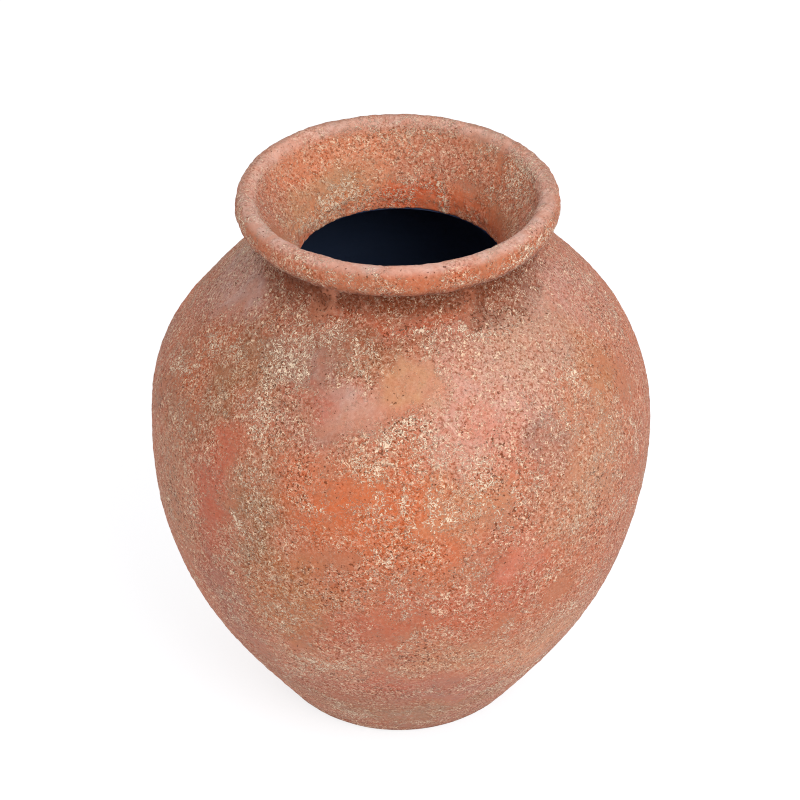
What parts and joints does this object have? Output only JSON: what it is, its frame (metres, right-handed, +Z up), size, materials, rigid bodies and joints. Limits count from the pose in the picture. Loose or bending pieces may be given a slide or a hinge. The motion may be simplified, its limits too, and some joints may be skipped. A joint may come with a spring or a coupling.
{
  "type": "terracotta jar",
  "caption": "Round-bellied, handleless terracotta jar with a narrow foot, a short waisted neck, a flared mouth, a thick rolled rim and a dark coated inside.",
  "frame": {"origin": "centre of the jar's underside, on its axis", "axes": "+Z up along the jar's axis, out of its mouth. The jar is round, so X and Y are alike: -Y is the side that carries the pale tan oval with the orange bloom below it"},
  "size_m": [0.4001, 0.4, 0.46],
  "materials": {
    "terracotta": "matte, gritty, mottled salmon, orange, mauve and ochre with cream lime flecks and dark pits",
    "fired_slip": "matte, smooth, hidden inside the joints",
    "sealing_coat": "flat blue-black, dull"
  },
  "bodies": {
    "root": {"foot_disc": "terracotta", "lower_bowl": "terracotta", "shoulder": "terracotta", "neck_collar": "terracotta", "rim_roll": "terracotta", "foot_slip": "fired_slip", "belly_slip": "fired_slip", "neck_slip": "fired_slip", "rim_slip": "fired_slip", "interior_coat": "sealing_coat"}
  },
  "joints": []
}
